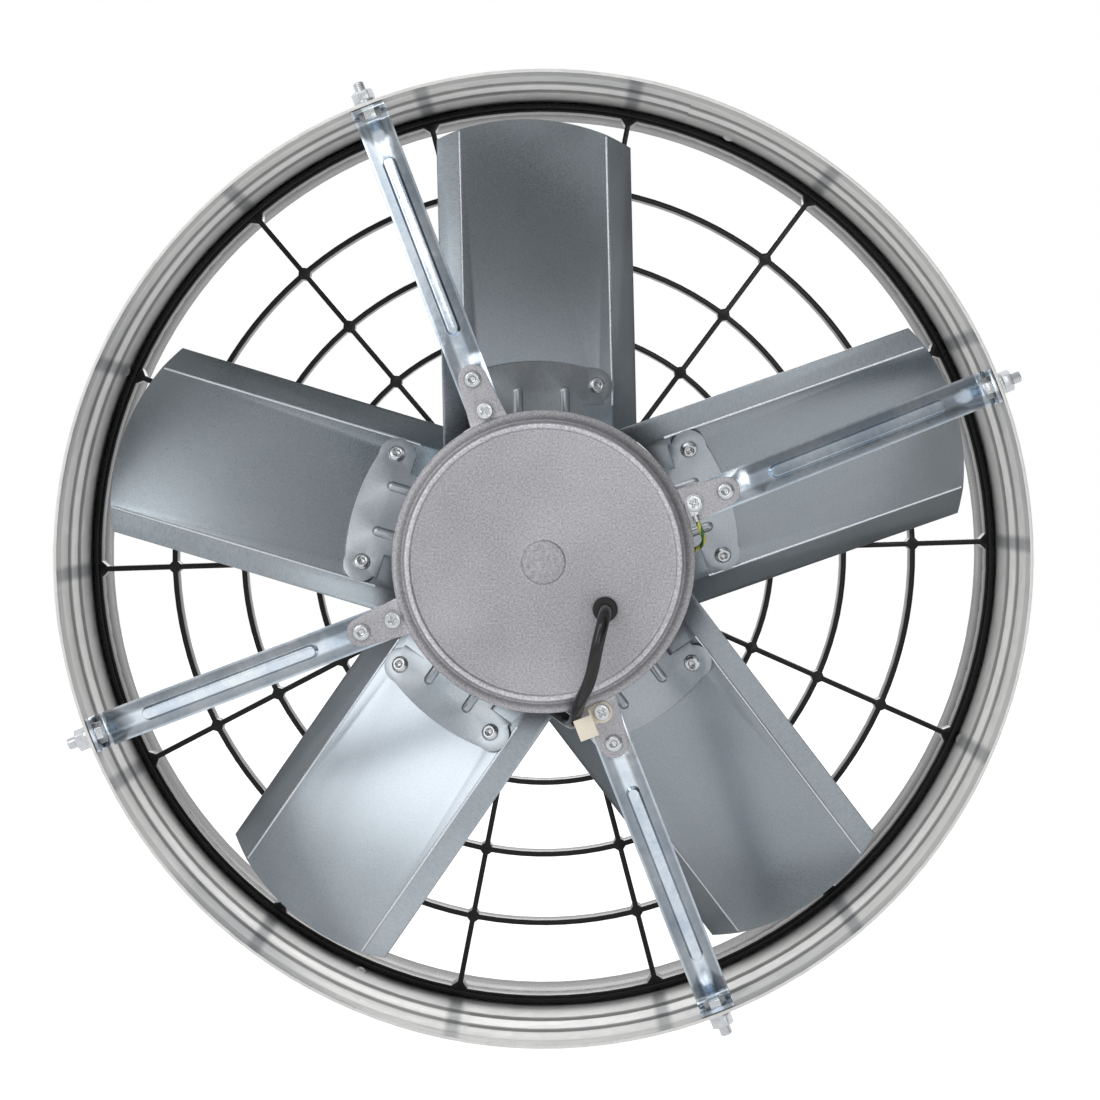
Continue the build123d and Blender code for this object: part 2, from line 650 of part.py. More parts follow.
coil_section = RegularPolygon(radius=cord_radius, side_count=cord_sides)
cord_coil = sweep(Plane(origin=coil_start, z_dir=coil_tangent(coil_angle)) * coil_section, path=coil_path)
save("cord_coil", cord_coil)
around = [coil_point(coil_angle - 5 * k) for k in range(72 * coil_turns + 1)]
least = min((around[j] - around[i]).length for i in range(len(around)) for j in range(i + 36, len(around)))
print("coil length", round(coil_path.length), "least gap to itself", round(least - 2 * cord_radius, 2))

# The three bare-ended cores at the far end of the lead
end_plane = Plane(origin=coil_end, z_dir=coil_tangent(last_angle))
cores = [extrude(end_plane * Rot(0, 0, 120 * k) * Pos(cord_radius * 0.45, 0) * Circle(core_radius),
                 amount=core_length) for k in range(3)]
save("lead_ends", *cores)

# Cable tie round the turns
tie_low = coil_depth - coil_pitch / 2 - cord_radius
tie_high = coil_depth + coil_pitch * (coil_turns + 0.5)
tie_in = coil_radius - cord_radius - soft_gap
tie_out = coil_radius + cord_radius + soft_gap
tie_hole = Pos((tie_in + tie_out) / 2, at((tie_low + tie_high) / 2)) * Rectangle(
    tie_out - tie_in, tie_high - tie_low + 2 * soft_gap)
tie_view = offset(tie_hole, amount=tie_thickness, kind=Kind.ARC) - tie_hole
tie = extrude(tie_view, amount=tie_width / 2, both=True)
tie_lock = Pos(tie_out + tie_thickness + 1.5, at((tie_low + tie_high) / 2), 0) * Box(3, 5, tie_width + 1.5)
save("cable_tie", turned(tie + tie_lock, tie_angle))

# Cord clip: a ring under the bottom lug screw, stepped up to a plate over the cord
clip_from = clip_centre_across - clip_width / 2
clip_to = clip_centre_across + clip_width / 2
clip_hole = Pos(lug_screw_at, 0) * Circle(screw_radius + fit_gap)
ring_low = Pos(lug_screw_at, 0) * Circle(clip_ring) + Pos(lug_screw_at, clip_to / 2) * Rectangle(
    2 * clip_ring, -clip_to)
clip = plate(ring_low - clip_hole, lug_top - clip_thickness, lug_top)
riser = Pos(lug_screw_at, clip_to + clip_thickness / 2) * Rectangle(2 * clip_ring, clip_thickness)
clip += plate(riser, clip_top_depth, lug_top)
clip_plate = Pos(clip_centre_along, (clip_from + clip_to + clip_thickness) / 2) * Rectangle(
    clip_height, clip_width + clip_thickness)
clip += plate(clip_plate, clip_top_depth, clip_top_depth + clip_thickness)
clip_angle = arm_angles()[3]
save("cord_clip", turned(clip, clip_angle))

# Earth terminal under the right lug screw, and its wire into the motor's rear housing
tag_view = Pos(lug_screw_at, 0) * Circle(tag_ring) + Pos(lug_screw_at - 1.6, (tag_barrel_length - tag_tail) / 2) * Rectangle(
    tag_tail_width, tag_tail - tag_barrel_length)
tag = plate(tag_view - clip_hole, lug_top - screw_washer, lug_top)
tag_angle = arm_angles()[0]
barrel_depth = lug_top - tag_barrel - fit_gap
tag += Pos(lug_screw_at - 1.6, at(barrel_depth), tag_barrel_length / 2 - tag_tail) * Cylinder(
    tag_barrel, tag_barrel_length)
save("earth_terminal", turned(tag, tag_angle))
wire_start = turned(Vertex(lug_screw_at - 1.6, at(barrel_depth), -tag_tail), tag_angle).center()
wire_turn = math.radians(tag_angle)
wire_normal = (math.sin(wire_turn), 0, -math.cos(wire_turn))
wire_ahead = wire_start + Vector(*wire_normal) * 5
earth_route = [tuple(wire_start), tuple(wire_ahead), (82.0, at(-8.0), 10.5), (79.5, at(0.0), 6.5),
               (73.0, at(2.5), 4.0), (rear_radius + soft_gap, at(2.5), 3.0)]
save("earth_wire", tube(earth_route, earth_radius, wire_normal))
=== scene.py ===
import json
import math

import bmesh
import bpy
from mathutils import Matrix, Vector


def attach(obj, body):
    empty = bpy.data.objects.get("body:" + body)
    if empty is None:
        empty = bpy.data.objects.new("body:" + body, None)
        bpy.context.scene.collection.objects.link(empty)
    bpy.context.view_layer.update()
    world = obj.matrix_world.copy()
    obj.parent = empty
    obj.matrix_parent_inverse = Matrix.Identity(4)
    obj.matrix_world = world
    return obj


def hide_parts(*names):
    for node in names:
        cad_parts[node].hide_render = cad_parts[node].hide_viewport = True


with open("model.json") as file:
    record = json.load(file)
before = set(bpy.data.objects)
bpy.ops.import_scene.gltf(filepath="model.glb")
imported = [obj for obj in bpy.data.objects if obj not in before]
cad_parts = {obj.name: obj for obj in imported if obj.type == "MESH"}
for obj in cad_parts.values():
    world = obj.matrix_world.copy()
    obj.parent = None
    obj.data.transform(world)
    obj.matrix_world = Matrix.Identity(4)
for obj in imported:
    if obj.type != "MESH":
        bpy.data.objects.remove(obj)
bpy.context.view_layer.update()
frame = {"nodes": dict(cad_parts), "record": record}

scene = bpy.context.scene
scene.view_settings.view_transform = "Standard"

# The fan's own measures, in metres, as the solids have them
MM = 0.001
DUCT_DEPTH = 152 * MM
DUCT_RADIUS = 250 * MM
GUARD_FRONT_DEPTH = 109 * MM

# Angles in degrees as the camera sees them, anticlockwise from the right
ARM_FIRST_ANGLE = 21.2
ARM_ANGLES = [ARM_FIRST_ANGLE + 90 * k for k in range(4)]
BLADE_ANGLES = [19.3 + 72 * k for k in range(5)]
GUARD_FIRST_ANGLE = 1.8
GUARD_SPOKES = 14


def depth(value):
    """Y of a depth behind the front rim, both in metres."""
    return value - DUCT_DEPTH / 2


def on_front(radius, angle, back):
    """A point at a radius, an angle in degrees and a depth."""
    turn = math.radians(angle)
    return Vector((radius * math.cos(turn), depth(back), radius * math.sin(turn)))


def way_out(angle):
    """The direction away from the axis at an angle in degrees."""
    turn = math.radians(angle)
    return Vector((math.cos(turn), 0, math.sin(turn)))


# Camera at the photograph's viewing angle: focal length in the photograph's pixels, distances in metres and
# pitch in degrees
PHOTO_WIDTH = 1100
FOCAL_PIXELS = 2747
CAMERA_AHEAD = 1.400
CAMERA_RIGHT = 0.0034
CAMERA_UP = 0.040
CAMERA_PITCH = 1.408
SENSOR = 36.0

camera_data = bpy.data.cameras.new("photo_camera")
camera_data.sensor_width = SENSOR
camera_data.lens = SENSOR * FOCAL_PIXELS / PHOTO_WIDTH
camera = bpy.data.objects.new("photo_camera", camera_data)
camera.location = (CAMERA_RIGHT, depth(-CAMERA_AHEAD), CAMERA_UP)
camera.rotation_euler = (math.radians(90 - CAMERA_PITCH), 0, 0)
scene.collection.objects.link(camera)
scene.camera = camera


# Helpers for node trees

def new_material(name):
    material = bpy.data.materials.new(name)
    material.use_nodes = True
    tree = material.node_tree
    return material, tree.nodes, tree.links, tree.nodes["Principled BSDF"]


def add(nodes, kind, **values):
    node = nodes.new(kind)
    for key, value in values.items():
        setattr(node, key, value)
    return node


def mapped(nodes, links, reading, start=(0.0, 1.0), end=(0.0, 1.0), **values):
    """A reading carried from a start range to an end range."""
    node = add(nodes, "ShaderNodeMapRange", **values)
    for label, number in zip(("From Min", "From Max", "To Min", "To Max"), (*start, *end)):
        node.inputs[label].default_value = number
    links.new(reading, node.inputs["Value"])
    return node.outputs["Result"]


def computed(nodes, links, operation, *values):
    """The result of a sum over readings and plain numbers, which are floats."""
    node = add(nodes, "ShaderNodeMath", operation=operation)
    for socket, value in zip(node.inputs, values):
        if isinstance(value, float):
            socket.default_value = value
        else:
            links.new(value, socket)
    return node.outputs["Value"]


def start_group(name, inputs, outputs):
    """A shader node group with named inputs and outputs, each input with its usual value."""
    group = bpy.data.node_groups.new(name, "ShaderNodeTree")
    for label, kind, default in inputs:
        socket = group.interface.new_socket(label, in_out="INPUT", socket_type=kind)
        socket.default_value = default
    for label, kind in outputs:
        group.interface.new_socket(label, in_out="OUTPUT", socket_type=kind)
    return group, group.nodes.new("NodeGroupInput"), group.nodes.new("NodeGroupOutput")


def place_group(nodes, group, **values):
    node = nodes.new("ShaderNodeGroup")
    node.node_tree = group
    for key, value in values.items():
        node.inputs[key.replace("_", " ")].default_value = value
    return node


# The part of its range in which the mixed noise mostly lies
NOISE_SPAN = (0.36, 0.64)


def make_grain_group():
    """Cloudy and fine grain over a surface: a colour between two tones, a roughness and a height."""
    group, entry, leave = start_group(
        "surface_grain",
        [("Cloud Scale", "NodeSocketFloat", 20.0), ("Grain Scale", "NodeSocketFloat", 900.0),
         ("Tone A", "NodeSocketColor", (0.5, 0.5, 0.5, 1)), ("Tone B", "NodeSocketColor", (0.6, 0.6, 0.6, 1)),
         ("Rough A", "NodeSocketFloat", 0.3), ("Rough B", "NodeSocketFloat", 0.4),
         ("Grain Share", "NodeSocketFloat", 0.5), ("Turn", "NodeSocketFloat", 0.0),
         ("Stretch", "NodeSocketVector", (1.0, 1.0, 1.0))],
        [("Color", "NodeSocketColor"), ("Roughness", "NodeSocketFloat"), ("Height", "NodeSocketFloat")])
    nodes, links = group.nodes, group.links
    place = add(nodes, "ShaderNodeTexCoord")
    cloud = add(nodes, "ShaderNodeTexNoise")
    cloud.inputs["Detail"].default_value = 3.0
    grain = add(nodes, "ShaderNodeTexNoise")
    grain.inputs["Detail"].default_value = 5.0
    grain.inputs["Roughness"].default_value = 0.65
    turned = add(nodes, "ShaderNodeVectorRotate", rotation_type="Y_AXIS")
    links.new(place.outputs["Object"], turned.inputs["Vector"])
    links.new(entry.outputs["Turn"], turned.inputs["Angle"])
    drawn = add(nodes, "ShaderNodeVectorMath", operation="MULTIPLY")
    links.new(turned.outputs["Vector"], drawn.inputs[0])
    links.new(entry.outputs["Stretch"], drawn.inputs[1])
    links.new(place.outputs["Object"], cloud.inputs["Vector"])
    links.new(drawn.outputs["Vector"], grain.inputs["Vector"])
    links.new(entry.outputs["Cloud Scale"], cloud.inputs["Scale"])
    links.new(entry.outputs["Grain Scale"], grain.inputs["Scale"])
    blend = add(nodes, "ShaderNodeMix", data_type="FLOAT")
    links.new(entry.outputs["Grain Share"], blend.inputs["Factor"])
    links.new(cloud.outputs["Fac"], blend.inputs["A"])
    links.new(grain.outputs["Fac"], blend.inputs["B"])
    spread = mapped(nodes, links, blend.outputs["Result"], NOISE_SPAN)
    tone = add(nodes, "ShaderNodeMix", data_type="RGBA")
    links.new(spread, tone.inputs["Factor"])
    links.new(entry.outputs["Tone A"], tone.inputs["A"])
    links.new(entry.outputs["Tone B"], tone.inputs["B"])
    rough = add(nodes, "ShaderNodeMix", data_type="FLOAT")
    links.new(spread, rough.inputs["Factor"])
    links.new(entry.outputs["Rough A"], rough.inputs["A"])
    links.new(entry.outputs["Rough B"], rough.inputs["B"])
    links.new(tone.outputs["Result"], leave.inputs["Color"])
    links.new(rough.outputs["Result"], leave.inputs["Roughness"])
    links.new(grain.outputs["Fac"], leave.inputs["Height"])
    return group


grain_group = make_grain_group()


def finish_with_grain(name, tones, roughs, scales, metallic=1.0, share=0.5, bump=0.05, bump_depth=0.0002,
                      specular=0.5, turn=0.0, stretch=(1.0, 1.0, 1.0)):
    """A material whose colour, roughness and bump come from the grain group, with cloud and grain scales."""
    material, nodes, links, shader = new_material(name)
    grain = place_group(nodes, grain_group, Cloud_Scale=scales[0], Grain_Scale=scales[1],
                        Tone_A=(*tones[0], 1), Tone_B=(*tones[1], 1), Rough_A=roughs[0], Rough_B=roughs[1],
                        Grain_Share=share, Turn=turn, Stretch=stretch)
    raise_up = add(nodes, "ShaderNodeBump")
    raise_up.inputs["Strength"].default_value = bump
    raise_up.inputs["Distance"].default_value = bump_depth
    links.new(grain.outputs["Height"], raise_up.inputs["Height"])
    links.new(grain.outputs["Color"], shader.inputs["Base Color"])
    links.new(grain.outputs["Roughness"], shader.inputs["Roughness"])
    links.new(raise_up.outputs["Normal"], shader.inputs["Normal"])
    shader.inputs["Metallic"].default_value = metallic
    shader.inputs["Specular IOR Level"].default_value = specular
    return material


# Further effects on a finish

def open_material(material):
    """A material's nodes, links, shader and colour so far, with its coordinates and the position's parts."""
    nodes, links = material.node_tree.nodes, material.node_tree.links
    shader = nodes["Principled BSDF"]
    colour = shader.inputs["Base Color"].links[0].from_socket
    place = add(nodes, "ShaderNodeTexCoord")
    parts = add(nodes, "ShaderNodeSeparateXYZ")
    links.new(place.outputs["Object"], parts.inputs["Vector"])
    return nodes, links, shader, colour, place, parts


def flat_position(nodes, links, parts):
    """The position seen along the fan's axis, as a vector without its depth."""
    flat = add(nodes, "ShaderNodeCombineXYZ")
    links.new(parts.outputs["X"], flat.inputs["X"])
    links.new(parts.outputs["Z"], flat.inputs["Z"])
    return flat.outputs["Vector"]


# How squarely a face has to look at the axis to count as the ring's inner face
INWARD_LEAST = 0.2


def inner_face(nodes, links, place, parts):
    """A mask of the ring's faces that look towards the axis."""
    facing = add(nodes, "ShaderNodeVectorMath", operation="DOT_PRODUCT")
    links.new(place.outputs["Normal"], facing.inputs[0])
    links.new(flat_position(nodes, links, parts), facing.inputs[1])
    return computed(nodes, links, "LESS_THAN", facing.outputs["Value"], -INWARD_LEAST * DUCT_RADIUS)


def painted_light_along(material, measure, stops, inside_only=False):
    """Painted light and shade multiplied into the colour along the fan's depth or radius, or across its arms,
    from (mm, factor) stops.
    """
    nodes, links, shader, colour, place, parts = open_material(material)
    start = 0.0
    if measure == "depth":
        reading, start = parts.outputs["Y"], -DUCT_DEPTH / 2
    elif measure == "across":
        squared = add(nodes, "ShaderNodeVectorRotate", rotation_type="Y_AXIS")
        squared.inputs["Angle"].default_value = math.radians(ARM_FIRST_ANGLE)
        links.new(place.outputs["Object"], squared.inputs["Vector"])
        sides = add(nodes, "ShaderNodeVectorMath", operation="ABSOLUTE")
        links.new(squared.outputs["Vector"], sides.inputs[0])
        links.new(sides.outputs["Vector"], parts.inputs["Vector"])
        reading = computed(nodes, links, "MINIMUM", parts.outputs["X"], parts.outputs["Z"])
    else:
        size = add(nodes, "ShaderNodeVectorMath", operation="LENGTH")
        links.new(flat_position(nodes, links, parts), size.inputs[0])
        reading = size.outputs["Value"]
    last_stop = stops[-1][0]
    span = mapped(nodes, links, reading, (start, start + last_stop * MM))
    ramp = add(nodes, "ShaderNodeValToRGB")
    while len(ramp.color_ramp.elements) < len(stops):
        ramp.color_ramp.elements.new(1.0)
    brightest = max(factor for stop, factor in stops)
    for element, (stop, factor) in zip(ramp.color_ramp.elements, stops):
        element.position = stop / last_stop
        level = factor / brightest
        element.color = (level, level, level, 1)
    links.new(span, ramp.inputs["Fac"])
    scaled = add(nodes, "ShaderNodeVectorMath", operation="SCALE")
    scaled.inputs["Scale"].default_value = brightest
    links.new(ramp.outputs["Color"], scaled.inputs[0])
    product = add(nodes, "ShaderNodeMix", data_type="RGBA", blend_type="MULTIPLY")
    product.inputs["Factor"].default_value = 1.0
    if inside_only:
        links.new(inner_face(nodes, links, place, parts), product.inputs["Factor"])
    links.new(colour, product.inputs["A"])
    links.new(scaled.outputs["Vector"], product.inputs["B"])
    links.new(product.outputs["Result"], shader.inputs["Base Color"])
    return material


# A bar's painted reflection on the ring: where it starts to fade and is gone, in shares of the bars' spacing
SPOKE_REFLECTION_FADE = (0.014, 0.05)
SPOKE_REFLECTION_COLOUR = (0.10, 0.11, 0.13, 1)


def painted_spoke_reflections(material, strength):
    """Painted reflections of the guard's bars: soft dark bands inside the duct at the bars' angles, where its
    zinc would mirror them.
    """
    nodes, links, shader, colour, place, parts = open_material(material)
    angle = computed(nodes, links, "ARCTAN2", parts.outputs["Z"], parts.outputs["X"])
    count = computed(nodes, links, "MULTIPLY_ADD", angle, GUARD_SPOKES / (2 * math.pi),
                     GUARD_SPOKES + 0.5 - GUARD_SPOKES * GUARD_FIRST_ANGLE / 360)
    off = computed(nodes, links, "SUBTRACT", computed(nodes, links, "FRACT", count), 0.5)
    band = mapped(nodes, links, computed(nodes, links, "ABSOLUTE", off), SPOKE_REFLECTION_FADE, (strength, 0.0),
                  interpolation_type="SMOOTHSTEP")
    ahead = computed(nodes, links, "LESS_THAN", parts.outputs["Y"], depth(GUARD_FRONT_DEPTH))
    within = computed(nodes, links, "MULTIPLY", inner_face(nodes, links, place, parts), ahead)
    amount = computed(nodes, links, "MULTIPLY", band, within)
    darker = add(nodes, "ShaderNodeMix", data_type="RGBA")
    darker.inputs["B"].default_value = SPOKE_REFLECTION_COLOUR
    links.new(amount, darker.inputs["Factor"])
    links.new(colour, darker.inputs["A"])
    links.new(darker.outputs["Result"], shader.inputs["Base Color"])
    return material


def spangled(material, size, contrast, metal_inside, metal_outside):
    """Zinc crystals over a sheet, duller inside the ring than outside."""
    nodes, links, shader, colour, place, parts = open_material(material)
    crystals = add(nodes, "ShaderNodeTexVoronoi")
    crystals.inputs["Scale"].default_value = 1 / size
    links.new(place.outputs["Object"], crystals.inputs["Vector"])
    grey = add(nodes, "ShaderNodeRGBToBW")
    links.new(crystals.outputs["Color"], grey.inputs["Color"])
    level = mapped(nodes, links, grey.outputs["Val"], end=(1 - contrast, 1 + contrast))
    tinted = add(nodes, "ShaderNodeVectorMath", operation="SCALE")
    links.new(colour, tinted.inputs[0])
    links.new(level, tinted.inputs["Scale"])
    links.new(tinted.outputs["Vector"], shader.inputs["Base Color"])
    inward = inner_face(nodes, links, place, parts)
    links.new(mapped(nodes, links, inward, end=(metal_outside, metal_inside)), shader.inputs["Metallic"])
    return material


# Finishes

# Painted light and shade on the ring from front to back: folded hem, lighter and darker bands between the
# beads, and painted shade on the beads' front slopes
DUCT_PAINTED_LIGHT = [(0, 0.72), (13.6, 0.70), (14.4, 1.0), (37.8, 1.0), (38.8, 0.42), (40.0, 0.45), (41.4, 1.25),
              (44, 1.18), (67.8, 1.15), (68.8, 0.42), (70.0, 0.45), (71.5, 1.0), (75, 0.92), (106, 0.88),
              (152, 1.0)]
galvanised_duct = finish_with_grain("galvanised_duct", ((0.74, 0.735, 0.72), (0.84, 0.835, 0.82)),
                                    (0.40, 0.50), (18, 700), metallic=0.22, bump=0.06)
spangled(galvanised_duct, size=9 * MM, contrast=0.07, metal_inside=0.22, metal_outside=0.85)
painted_light_along(galvanised_duct, "depth", DUCT_PAINTED_LIGHT, inside_only=True)
painted_spoke_reflections(galvanised_duct, strength=0.6)

BLADE_TONES = ((0.36, 0.41, 0.45), (0.54, 0.59, 0.635))
# Painted light and shade: one brightness factor per blade, for how the light falls on it
BLADE_PAINTED_LIGHT = (0.72, 0.9, 0.86, 1.0, 0.78)


def blade_finish(number):
    """Galvanised sheet with fine rolling marks across the blade, each blade made lighter or darker by its own
    level of painted light.
    """
    tones = [[part * BLADE_PAINTED_LIGHT[number] for part in tone] for tone in BLADE_TONES]
    return finish_with_grain(f"galvanised_blade_{number + 1}", tones, (0.26, 0.34), (7, 2200), share=0.55,
                             bump=0.09, turn=math.radians(BLADE_ANGLES[number]), stretch=(1.0, 1.0, 0.12))


blade_finishes = [blade_finish(number) for number in range(len(BLADE_ANGLES))]
# Fold ridges: a lighter zinc than the blades' sheet, a painted highlight along each fold
fold_painted_highlight = finish_with_grain("blade_fold", ((0.62, 0.66, 0.70), (0.76, 0.80, 0.84)), (0.18, 0.26),
                                (30, 900), bump=0.04)
spider_steel = finish_with_grain("spider_steel", ((0.38, 0.42, 0.455), (0.54, 0.58, 0.615)), (0.28, 0.40),
                                 (22, 900), bump=0.10)
bright_zinc = finish_with_grain("bright_zinc", ((0.46, 0.54, 0.63), (0.74, 0.80, 0.86)), (0.10, 0.20),
                                (34, 260), share=0.35, bump=0.10)
# Painted light across an arm from its middle to its edge: painted highlight on the bead, duller strip in
# painted shade, and painted highlight on the edge
ARM_PAINTED_LIGHT = [(0, 1.25), (2.4, 1.25), (4.0, 0.60), (7.4, 0.52), (8.4, 0.95), (9.0, 1.0)]
painted_light_along(bright_zinc, "across", ARM_PAINTED_LIGHT)
fastener_zinc = finish_with_grain("fastener_zinc", ((0.58, 0.60, 0.62), (0.76, 0.78, 0.80)), (0.2, 0.34),
                                  (120, 1200), bump=0.05)
cast_aluminium = finish_with_grain("cast_aluminium", ((0.31, 0.305, 0.325), (0.66, 0.655, 0.69)),
                                   (0.38, 0.56), (16, 1000), metallic=0.8, share=0.76, bump=0.5,
                                   bump_depth=0.0005)
# Painted light and shade on the cover from its middle out: boss edge, face, painted highlight on the bead,
# painted shade in the groove, and rim
COVER_PAINTED_LIGHT = [(0, 0.94), (10.2, 0.94), (10.9, 0.62), (11.5, 1.12), (12.4, 1.0), (65.6, 1.0), (67.6, 1.25),
               (69.6, 1.45), (71.0, 1.0), (71.9, 0.42), (73.2, 0.62), (75.0, 1.1), (76.6, 1.2), (80, 1.0),
               (110, 1.0)]
painted_light_along(cast_aluminium, "radius", COVER_PAINTED_LIGHT)
black_moulding = finish_with_grain("black_moulding", ((0.003, 0.003, 0.0035), (0.008, 0.008, 0.009)),
                                   (0.20, 0.30), (40, 600), metallic=0.0, bump=0.03, specular=0.28)
cord_sheath = finish_with_grain("cord_sheath", ((0.005, 0.005, 0.006), (0.014, 0.014, 0.016)), (0.14, 0.22),
                                (60, 900), metallic=0.0, bump=0.05)
grommet_rubber = finish_with_grain("grommet_rubber", ((0.008, 0.008, 0.008), (0.02, 0.02, 0.02)), (0.45, 0.6),
                                   (80, 900), metallic=0.0, bump=0.1)
clip_plastic = finish_with_grain("clip_plastic", ((0.84, 0.76, 0.62), (0.93, 0.87, 0.75)), (0.35, 0.45),
                                 (90, 900), metallic=0.0, bump=0.05)
tie_plastic = finish_with_grain("tie_plastic", ((0.015, 0.015, 0.015), (0.03, 0.03, 0.03)), (0.35, 0.45),
                                (90, 900), metallic=0.0, bump=0.05)
winding_copper = finish_with_grain("winding_copper", ((0.45, 0.18, 0.08), (0.62, 0.28, 0.13)), (0.25, 0.4),
                                   (60, 500), bump=0.2)
lamination_steel = finish_with_grain("lamination_steel", ((0.25, 0.25, 0.26), (0.40, 0.40, 0.42)),
                                     (0.35, 0.5), (60, 900), bump=0.15)
bearing_steel = finish_with_grain("bearing_steel", ((0.62, 0.62, 0.64), (0.74, 0.74, 0.76)), (0.12, 0.2),
                                  (60, 900), bump=0.02)
core_sheath = finish_with_grain("core_sheath", ((0.16, 0.07, 0.03), (0.24, 0.11, 0.05)), (0.3, 0.4),
                                (90, 900), metallic=0.0, bump=0.03)

# Earth wire's sheath: green with a wandering yellow stripe
earth_sheath, earth_nodes, earth_links, earth_shader = new_material("earth_sheath")
EARTH_STOPS = ((0.46, (0.03, 0.13, 0.03, 1)), (0.54, (0.55, 0.50, 0.10, 1)))
earth_place = add(earth_nodes, "ShaderNodeTexCoord")
earth_stripe = add(earth_nodes, "ShaderNodeTexWave", wave_type="BANDS", bands_direction="X")
earth_stripe.inputs["Scale"].default_value = 90.0
earth_stripe.inputs["Distortion"].default_value = 1.5
earth_tone = add(earth_nodes, "ShaderNodeValToRGB")
for element, (position, colour) in zip(earth_tone.color_ramp.elements, EARTH_STOPS):
    element.position = position
    element.color = colour
earth_links.new(earth_place.outputs["Object"], earth_stripe.inputs["Vector"])
earth_links.new(earth_stripe.outputs["Fac"], earth_tone.inputs["Fac"])
earth_links.new(earth_tone.outputs["Color"], earth_shader.inputs["Base Color"])
earth_shader.inputs["Roughness"].default_value = 0.3

FINISH_OF_SLOT = {
    "galvanised_duct": galvanised_duct, "zinc_arm": bright_zinc, "galvanised_blade": blade_finishes[0],
    "spider_steel": spider_steel, "cast_aluminium": cast_aluminium, "black_moulding": black_moulding,
    "cord_sheath": cord_sheath, "grommet_rubber": grommet_rubber, "core_sheath": core_sheath,
    "clip_plastic": clip_plastic, "tie_plastic": tie_plastic, "earth_sheath": earth_sheath,
    "winding_copper": winding_copper, "lamination_steel": lamination_steel, "bearing_steel": bearing_steel,
    "zinc_fastener": fastener_zinc}

for entry in frame["record"]["subparts"]:
    node = frame["nodes"][entry["node"]]
    for place in node.material_slots:
        place.material = FINISH_OF_SLOT[entry["material_slot"]]


# Lead: one smooth line from the grommet, down the cover, under the clip and round the motor

CORD_RADIUS = 3.2 * MM
COIL_RADIUS = 69.0 * MM
COIL_PITCH = 7.2 * MM
COIL_DEPTH = 11.0 * MM
COIL_ANGLE = 238.0
COIL_TURNS = 2
COIL_STEPS = 24
# How far past the turns their control points lie, as a power of the corner's own reach, so that the smooth
# line keeps the radius
COIL_LIFT = 0.75
COIL_LEAD_IN = 20
CORD_EXIT = (31.0 * MM, depth(-26 * MM), -23.6 * MM)
CORD_ROUTE = [CORD_EXIT, (31.0 * MM, depth(-42 * MM), -23.6 * MM), (26.8 * MM, depth(-46.5 * MM), -40.0 * MM),
              (23.5 * MM, depth(-44.0 * MM), -58.0 * MM), (17.5 * MM, depth(-31.5 * MM), -70.5 * MM),
              (15.8 * MM, depth(-15.0 * MM), -81.5 * MM), (13.0 * MM, depth(-2.0 * MM), -82.0 * MM),
              (2.5 * MM, depth(8.0 * MM), -74.5 * MM)]


def coil_point(angle):
    """A point of the winding, which runs clockwise and back from its start."""
    outward = COIL_RADIUS / math.cos(math.pi / COIL_STEPS) ** COIL_LIFT
    back = COIL_DEPTH + COIL_PITCH * (COIL_ANGLE - angle) / 360
    return on_front(outward, angle, back)


def coil_tangent(angle):
    """The direction in which the winding runs at an angle."""
    turn = math.radians(angle)
    return Vector((math.sin(turn), COIL_PITCH / (2 * math.pi * COIL_RADIUS), -math.cos(turn))).normalized()


def smooth_line(name, points, radius):
    """A round cord on a smooth spline with the points as its control points."""
    curve = bpy.data.curves.new(name, "CURVE")
    curve.dimensions = "3D"
    curve.bevel_depth = radius
    curve.bevel_resolution = 6
    curve.resolution_u = 12
    curve.use_fill_caps = True
    spline = curve.splines.new("NURBS")
    spline.points.add(len(points) - 1)
    for control, point in zip(spline.points, points):
        control.co = (*point, 1)
    spline.order_u = 3
    spline.use_endpoint_u = True
    piece = bpy.data.objects.new(name, curve)
    scene.collection.objects.link(piece)
    return piece


coil_angles = [COIL_ANGLE - 360 / COIL_STEPS * step for step in range(COIL_STEPS * COIL_TURNS + 1)]
coil_first = coil_point(COIL_ANGLE) - coil_tangent(COIL_ANGLE) * COIL_LEAD_IN * MM
coil_last = coil_point(coil_angles[-1]) + coil_tangent(coil_angles[-1]) * 2 * CORD_RADIUS
cord_points = [Vector(point) for point in CORD_ROUTE] + [coil_first]
cord_points += [coil_point(angle) for angle in coil_angles] + [coil_last]
lead = smooth_line("lead_sheath", cord_points, CORD_RADIUS)
lead.data.materials.append(cord_sheath)
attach(lead, "frame")
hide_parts("power_cord", "cord_coil")


# Helpers for shapes

def put(name, mesh, body, finish, replaces=()):
    """One piece of the scene on its body, with its finish and the nodes that it stands for."""
    piece = bpy.data.objects.new(name, mesh)
    scene.collection.objects.link(piece)
    mesh.materials.clear()
    mesh.materials.append(finish)
    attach(piece, body)
    if replaces:
        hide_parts(*replaces)
    return piece


def smooth_mesh(mesh, angle=32):
    """A mesh shaded smooth, with its corners above an angle in degrees kept sharp."""
    mesh.shade_smooth()
    mesh.set_sharp_from_angle(angle=math.radians(angle))
    return mesh


def mesh_of(name, shape):
    """The plain mesh of an edited shape."""
    mesh = bpy.data.meshes.new(name)
    shape.to_mesh(mesh)
    shape.free()
    return mesh


def mesh_of_curve(name, curve):
    """The plain mesh of a curve."""
    holder = bpy.data.objects.new(name, curve)
    mesh = bpy.data.meshes.new_from_object(holder)
    bpy.data.objects.remove(holder)
    return mesh


